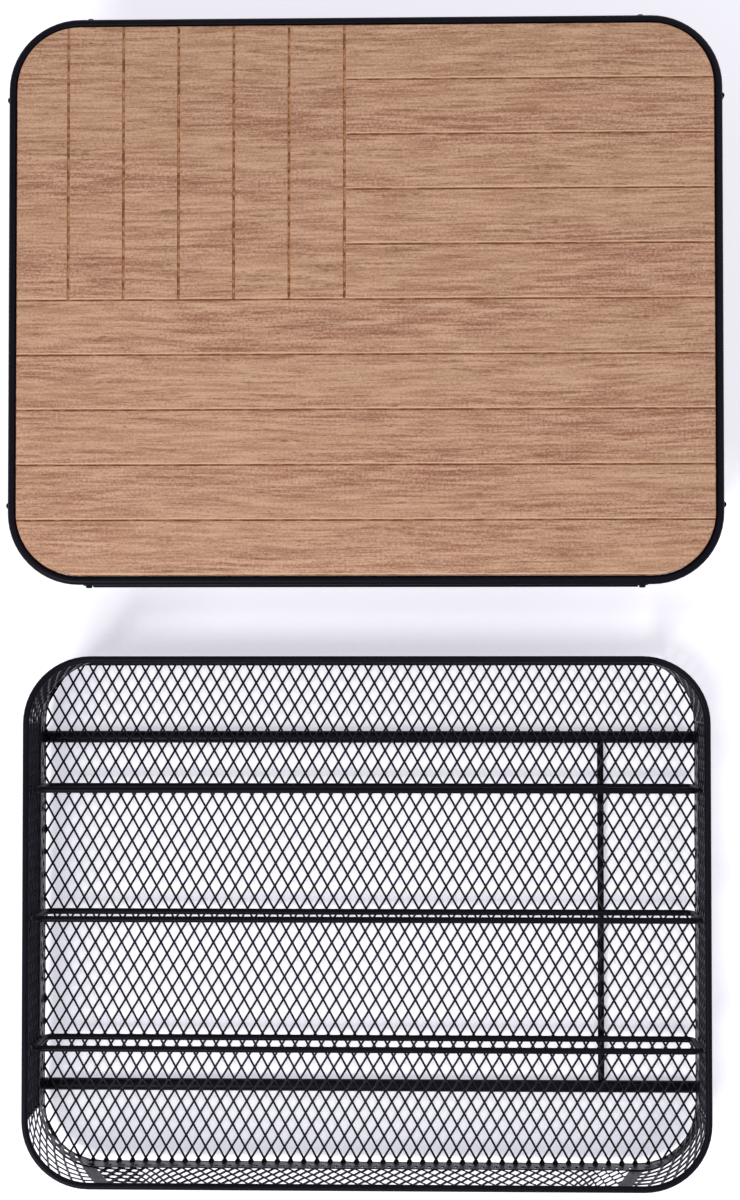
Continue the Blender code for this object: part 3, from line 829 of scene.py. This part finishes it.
def floor_place():
    """The middle of the floor between its turned-up edges, and half its width and depth."""
    half_width, half_depth = half_sides()
    low_x = drawer_centre.x - half_width + FLANGE_INSETS["left"]
    high_x = drawer_centre.x + half_width - FLANGE_INSETS["right"]
    low_y = drawer_centre.y - half_depth + FLANGE_INSETS["front"]
    high_y = drawer_centre.y + half_depth - FLANGE_INSETS["back"]
    middle = Vector(((low_x + high_x) / 2, (low_y + high_y) / 2, node_centre("floor_mesh").z))
    return middle, (high_x - low_x) / 2, (high_y - low_y) / 2


def set_outward(strip, turn, middle, distance):
    """Sets a strip at a distance from a middle, on the side that a turn points to."""
    outward = Vector((math.sin(turn), -math.cos(turn), 0))
    strip.rotation_euler = (0, 0, turn)
    strip.location = middle + outward * distance
    apply_place(strip)
    return strip


def corner_centre(turn, middle, half_width, half_depth, radius):
    """The centre of one corner's bend, for the rectangle with that middle."""
    side_x = 1 if math.sin(turn) > 0 else -1
    side_y = -1 if math.cos(turn) > 0 else 1
    return middle + Vector((side_x * (half_width - radius), side_y * (half_depth - radius), 0))


def strip_lines(left, right, height):
    """The lines that bound a strip: its right end, its left end, its foot and its top."""
    return [
        ((right, 0, 0), (1, 0, 0)),
        ((left, 0, 0), (-1, 0, 0)),
        ((0, 0, 0), (0, 1, 0)),
        ((0, -height, 0), (0, -1, 0)),
    ]


def flange_side(turn):
    """The floor's edge, turned up along one side."""
    middle, half_width, half_depth = floor_place()
    along_y = abs(math.sin(turn)) > 0.5
    distance = half_width if along_y else half_depth
    half_length = (half_depth if along_y else half_width) - FLOOR_CORNER_RADIUS
    shape = folded_up(turn, 1.0)
    sheet = diamond_sheet(half_length, FLANGE_HEIGHT, shape, fold_offset(turn, distance))
    trim_to_lines(sheet, strip_lines(-half_length, half_length, FLANGE_HEIGHT))
    cut_openings(sheet, shape, FLANGE_STRAND_WIDTH, CORNER_LIFT)
    return set_outward(stand_up(sheet), turn, middle, distance)


def flange_corner(turn):
    """The floor's edge, turned up round one corner."""
    middle, half_width, half_depth = floor_place()
    radius = FLOOR_CORNER_RADIUS
    half_arc = QUARTER_TURN * radius / 2
    shape = pulled_round(turn)
    sheet = diamond_sheet(half_arc, FLANGE_HEIGHT, shape, (0, 0))
    trim_to_lines(sheet, strip_lines(-half_arc, half_arc, FLANGE_HEIGHT))
    cut_openings(sheet, shape, FLANGE_STRAND_WIDTH, CORNER_LIFT)
    strip = stand_up(sheet)
    bend_round(strip, -half_arc, half_arc, half_arc)
    bend_centre = corner_centre(turn, middle, half_width, half_depth, radius)
    return set_outward(strip, turn, bend_centre, radius)


def dress_net(net, name, node):
    dress(net, name, mesh_coat, "drawer", "black_mesh", node)


def floor_net():
    """The floor's net, its edge turned up inside the walls, with a closed hem at the back."""
    middle, half_width, half_depth = floor_place()
    aside = middle - drawer_centre
    offset = fold_offset(0, 0)
    offset = (offset[0] - aside.x, offset[1] - aside.y)
    sheet = diamond_sheet(half_width, half_depth, lean(), offset)
    lines = strip_lines(-half_width, half_width, half_depth)
    lines[2] = ((0, half_depth, 0), (0, 1, 0))
    trim_to_lines(sheet, lines)
    trim_corners(sheet, half_width, half_depth, FLOOR_CORNER_RADIUS)
    hem = ((0, half_depth - BACK_HEM, 0), (0, 1, 0))
    cut_openings(sheet, lean(), STRAND_WIDTH, STRAND_LIFT, hem)
    give_thickness(sheet)
    sheet.location = middle
    apply_place(sheet)
    flange = []
    for i in range(4):
        flange.append(flange_side(i * QUARTER_TURN))
        flange.append(flange_corner((i + 0.5) * QUARTER_TURN))
    dress_net(join([sheet] + flange), "floor_net", "floor_mesh")


def long_wall_net(turn, middle, height):
    """The net along the front or the back, cut slanting where a corner's net is lapped over it."""
    half_width, half_depth = half_sides()
    middle_of_arc = half_width - RIM_CORNER_RADIUS + QUARTER_TURN * RIM_CORNER_RADIUS / 2
    corners = ("front_right", "front_left") if math.cos(turn) > 0 else ("back_left", "back_right")
    shape = folded_up(turn, WALL_STRETCH)
    sheet = diamond_sheet(half_width, 2 * height, shape, fold_offset(turn, half_depth))
    skew_ends(sheet)
    lines = strip_lines(-half_width, half_width, height)
    for i, side in enumerate((1, -1)):
        foot_end = middle_of_arc - SEAM_FEET[corners[i]] * MM + SEAM_OVERLAP
        top_end = middle_of_arc - SEAM_TOPS[corners[i]] * MM + SEAM_OVERLAP
        lines[i] = ((side * foot_end, 0, 0), (side * height, top_end - foot_end, 0))
    trim_to_lines(sheet, lines)
    cut_openings(sheet, shape, STRAND_WIDTH, STRAND_LIFT)
    return set_outward(stand_up(sheet), turn, middle, half_depth)


def short_wall_net(turn, middle, height):
    """The net along the left or the right side. Its strands are tipped the other way."""
    half_width, half_depth = half_sides()
    half_length = half_depth - RIM_CORNER_RADIUS
    shape = folded_up(turn, WALL_STRETCH)
    sheet = diamond_sheet(half_length, height, shape, fold_offset(turn, half_width))
    trim_to_lines(sheet, strip_lines(-half_length, half_length, height))
    cut_openings(sheet, shape, STRAND_WIDTH, -STRAND_LIFT)
    return set_outward(stand_up(sheet), turn, middle, half_width)


def corner_net(corner, turn, middle, height):
    """The net round one corner. It ends in a closed band along the slanted seam."""
    seam_foot, seam_top = SEAM_FEET[corner] * MM, SEAM_TOPS[corner] * MM
    radius = RIM_CORNER_RADIUS - CORNER_INSET
    half_arc = QUARTER_TURN * radius / 2
    side = -1 if math.sin(2 * turn) > 0 else 1
    shape = pulled_round(turn)
    sheet = diamond_sheet(seam_top, height, shape, (0, 0))
    seam_way = Vector((side * height, seam_top - seam_foot, 0)).normalized()
    seam_end = Vector((side * seam_foot, 0, 0))
    lines = strip_lines(-half_arc, half_arc, height)
    lines[0 if side > 0 else 1] = (seam_end, seam_way)
    trim_to_lines(sheet, lines)
    seam = (seam_end - SEAM_BAND * seam_way, seam_way)
    lift = BACK_LEFT_LIFT if corner == "back_left" else CORNER_LIFT
    cut_openings(sheet, shape, CORNER_STRAND_WIDTH, lift, seam)
    strip = stand_up(sheet)
    left = -half_arc if side > 0 else -seam_top
    right = seam_top if side > 0 else half_arc
    bend_round(strip, left, right, half_arc)
    bend_centre = corner_centre(turn, middle, *half_sides(), RIM_CORNER_RADIUS)
    return set_outward(strip, turn, bend_centre, radius)


def wall_nets():
    low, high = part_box("wall_front")
    height = high.z - low.z
    middle = Vector((drawer_centre.x, drawer_centre.y, low.z))
    for i, side in enumerate(("front", "right", "back", "left")):
        net_of_side = long_wall_net if i % 2 == 0 else short_wall_net
        net = net_of_side(i * QUARTER_TURN, middle, height)
        dress_net(net, f"net_{side}", f"wall_{side}")
    for i, corner in enumerate(("front_right", "back_right", "back_left", "front_left")):
        net = corner_net(corner, (i + 0.5) * QUARTER_TURN, middle, height)
        dress_net(net, f"net_{corner}", f"corner_{corner}")


# The grooved board


def groove_cutters(places, length, along):
    """Bars that narrow to the foot, sunk halfway in the board's top, one for each place."""
    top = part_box("wood_board")[1].z
    width = ROW_GROOVE_WIDTH if along == "X" else COLUMN_GROOVE_WIDTH
    bars = []
    for place in places:
        bpy.ops.mesh.primitive_cube_add(size=1.0)
        bar = bpy.context.object
        size = (length, width, 2 * GROOVE_DEPTH)
        bar.scale = size if along == "X" else (size[1], size[0], size[2])
        apply_place(bar)
        edit(bar)
        select_where(bar, "FACE", lambda face: face.normal.z < -0.5)
        narrow = (1.0, GROOVE_FOOT_SHARE, 1.0) if along == "X" else (GROOVE_FOOT_SHARE, 1.0, 1.0)
        bpy.ops.transform.resize(value=narrow)
        leave_edit()
        bar.location = (place.x, place.y, top)
        apply_place(bar)
        bars.append(bar)
    return join(bars)


def cut_away(obj, cutter):
    cut = obj.modifiers.new("Grooves", "BOOLEAN")
    cut.operation = "DIFFERENCE"
    cut.solver = "EXACT"
    cut.object = cutter
    apply_modifiers(obj)
    remove(cutter)


def is_upright(edge):
    """Whether an edge runs along Z."""
    along = edge.verts[0].co - edge.verts[1].co
    return abs(along.z) > along.length / 2


def bounds_flat_side(edge):
    """Whether an edge lies between the board's top or underside and its rim."""
    flat = [abs(face.normal.z) > 0.5 for face in edge.link_faces]
    return any(flat) and not all(flat)


def plain_board():
    """The board with its corners and edges rounded, still without grooves."""
    bpy.ops.mesh.primitive_cube_add(size=1.0)
    board = bpy.context.object
    board.scale = node_size("wood_board")
    board.location = node_centre("wood_board")
    apply_place(board)
    edit(board)
    select_where(board, "EDGE", is_upright)
    bpy.ops.mesh.bevel(offset=BOARD_CORNER_RADIUS, segments=BOARD_CORNER_SEGMENTS)
    select_where(board, "EDGE", bounds_flat_side)
    bpy.ops.mesh.bevel(offset=BOARD_EDGE_ROUNDING, segments=ROUNDING_SEGMENTS)
    leave_edit()
    return board


def grooved_board():
    """The board with long grooves along X, and short ones along Y in its back left quarter."""
    low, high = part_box("wood_board")
    size = high - low
    middle = (low + high) / 2
    board = plain_board()
    strip = size.y / BOARD_STRIP_COUNT
    right_length = high.x + CUT_OVERRUN - GROOVE_SPLIT_X
    rows, short_rows, columns = [], [], []
    for i in range(1, BOARD_STRIP_COUNT):
        y = low.y + i * strip
        if i <= BOARD_STRIP_COUNT / 2:
            rows.append(Vector((middle.x, y, 0)))
        else:
            short_rows.append(Vector((GROOVE_SPLIT_X + right_length / 2, y, 0)))
    column_length = high.y + CUT_OVERRUN - middle.y
    for i in range(GROOVE_COLUMN_COUNT):
        x = GROOVE_SPLIT_X - i * GROOVE_COLUMN_SPACING
        columns.append(Vector((x, middle.y + column_length / 2, 0)))
    cut_away(board, groove_cutters(rows, size.x + 2 * CUT_OVERRUN, "X"))
    cut_away(board, groove_cutters(short_rows, right_length, "X"))
    cut_away(board, groove_cutters(columns, column_length, "Y"))
    shade_round(board, BOARD_CREASE)
    dress(board, "grooved_board", veneer, "stand", "oiled_wood", "wood_board")


# Welds


def weld_beads(places, half_size):
    """Small oval beads of weld, all alike."""
    bpy.ops.mesh.primitive_uv_sphere_add(segments=16, ring_count=10, radius=1.0)
    bead = bpy.context.object
    bead.scale = half_size
    apply_place(bead)
    beads = [copy_of(bead, place) for place in places]
    remove(bead)
    return join(beads)


def dress_welds(beads, name, body):
    piece = join(beads)
    shade_round(piece, WELD_CREASE)
    dress_wire(piece, name, body)


def crossing(wire_along_y, wire_along_x):
    """Where two straight wires cross, halfway between their middles in height."""
    a, b = node_centre(wire_along_y), node_centre(wire_along_x)
    return Vector((a.x, b.y, (a.z + b.z) / 2))


def stand_welds():
    ring_low, ring_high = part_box("top_ring")
    wire_ends, crossings, leg_tops = [], [], []
    for side in ("left", "right"):
        wire = node_centre(f"board_wire_{side}")
        for y in (ring_low.y, ring_high.y):
            inward = WIRE_END_BEAD_INSET if y < wire.y else -WIRE_END_BEAD_INSET
            wire_ends.append(Vector((wire.x, y + inward, ring_low.z + WIRE_END_BEAD_RISE)))
        leg = node_centre(f"side_frame_{side}")
        inward = LEG_BEAD_INSET if leg.x < 0 else -LEG_BEAD_INSET
        for end in ("front", "back"):
            crossings.append(crossing(f"board_wire_{side}", f"cross_wire_{end}"))
            cross_y = node_centre(f"cross_wire_{end}").y
            leg_tops.append(Vector((leg.x + inward, cross_y, ring_low.z - LEG_BEAD_DROP)))
    beads = [
        weld_beads(wire_ends, WIRE_END_BEAD),
        weld_beads(crossings, CROSSING_BEAD),
        weld_beads(leg_tops, LEG_BEAD),
    ]
    dress_welds(beads, "stand_welds", "stand")


def drawer_welds():
    divider_ends, tie_ends = [], []
    for end in ("front", "middle", "back"):
        low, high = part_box(f"divider_{end}")
        for x in (low.x + DIVIDER_BEAD_INSET, high.x - DIVIDER_BEAD_INSET):
            divider_ends.append(Vector((x, (low.y + high.y) / 2, high.z - DIVIDER_BEAD_DROP)))
    tie = node_centre("tie_rod")
    for end in ("front", "back"):
        rod = node_centre(f"floor_rod_{end}")
        tie_ends.append(Vector((tie.x, rod.y, rod.z)))
    beads = [weld_beads(divider_ends, DIVIDER_BEAD), weld_beads(tie_ends, TIE_BEAD)]
    dress_welds(beads, "drawer_welds", "drawer")


# The tabs and screws keep the shapes of their solids


def hardware():
    for number in range(1, TAB_COUNT + 1):
        give_finish(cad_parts[f"board_tab_{number}"], coat)
        give_finish(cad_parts[f"tab_screw_{number}"], zinc)


floor_net()
wall_nets()
stand_wires()
drawer_wires()
grooved_board()
stand_welds()
drawer_welds()
hardware()


# Studio: plain floor, soft light and the camera


def seen_directly(tree):
    """1 where a thing is seen straight, in a reflection or through glass, and 0 elsewhere."""
    ray = node_of(tree, "ShaderNodeLightPath").outputs
    seen = math_node(tree, "MAXIMUM", ray["Is Camera Ray"], ray["Is Glossy Ray"])
    return math_node(tree, "MAXIMUM", seen, ray["Is Transmission Ray"])


def studio_floor():
    bpy.ops.mesh.primitive_plane_add(size=FLOOR_SIZE)
    floor = bpy.context.object
    floor.name = "studio_floor"
    material, tree = new_material("pale_floor")
    output = tree.nodes["Material Output"]
    paper = node_of(tree, "ShaderNodeBsdfDiffuse")
    paper.inputs["Color"].default_value = (FLOOR_GREY, FLOOR_GREY, FLOOR_GREY, 1.0)
    glow = node_of(tree, "ShaderNodeEmission")
    place = node_of(tree, "ShaderNodeTexCoord").outputs["Object"]
    length = node_of(tree, "ShaderNodeVectorMath", operation="LENGTH")
    tree.links.new(place, length.inputs[0])
    from_middle = length.outputs["Value"]
    far = map_range(tree, from_middle, GLOW_RISE_START, GLOW_RISE_END, smooth=True)
    tree.links.new(blend_colours(tree, far, FLOOR_GLOW, FAR_FLOOR_GLOW), glow.inputs["Color"])
    tree.links.new(seen_directly(tree), glow.inputs["Strength"])
    both = node_of(tree, "ShaderNodeAddShader")
    tree.links.new(paper.outputs[0], both.inputs[0])
    tree.links.new(glow.outputs[0], both.inputs[1])
    tree.links.new(both.outputs[0], output.inputs["Surface"])
    tree.nodes.remove(tree.nodes["Principled BSDF"])
    floor.data.materials.append(material)


def soft_lamp(name, place, size, power):
    """A round lamp that shines at the middle of the table."""
    bpy.ops.object.light_add(type="AREA", location=place)
    lamp = bpy.context.object
    lamp.name = name
    lamp.data.shape = "DISK"
    lamp.data.size = size
    lamp.data.energy = power
    lamp.rotation_euler = (-Vector(place)).to_track_quat("-Z", "Y").to_euler()


def sky():
    world = bpy.data.worlds.new("studio_sky")
    bpy.context.scene.world = world
    world.use_nodes = True
    tree = world.node_tree
    background = tree.nodes["Background"]
    background.inputs["Color"].default_value = (1.0, 1.0, 1.0, 1.0)
    extra = math_node(tree, "MULTIPLY", seen_directly(tree), 1.0 - SKY_STRENGTH)
    tree.links.new(math_node(tree, "ADD", extra, SKY_STRENGTH), background.inputs["Strength"])


def camera():
    bpy.ops.object.camera_add(location=CAMERA_PLACE)
    view = bpy.context.object
    view.name = "photo_camera"
    roll = Matrix.Rotation(CAMERA_ROLL, 4, "Z")
    tilt_back = Matrix.Rotation(CAMERA_TILT_BACK, 4, "X")
    tilt_side = Matrix.Rotation(CAMERA_TILT_SIDE, 4, "Y")
    view.matrix_world = Matrix.Translation(CAMERA_PLACE) @ roll @ tilt_back @ tilt_side
    view.data.sensor_fit = "VERTICAL"
    view.data.sensor_height = CAMERA_SENSOR_MM
    view.data.lens = CAMERA_LENS_MM
    bpy.context.scene.camera = view


studio_floor()
soft_lamp("key_lamp", KEY_PLACE, KEY_SIZE, KEY_POWER)
soft_lamp("fill_lamp", FILL_PLACE, FILL_SIZE, FILL_POWER)
sky()
camera()
bpy.context.scene.view_settings.view_transform = "Standard"
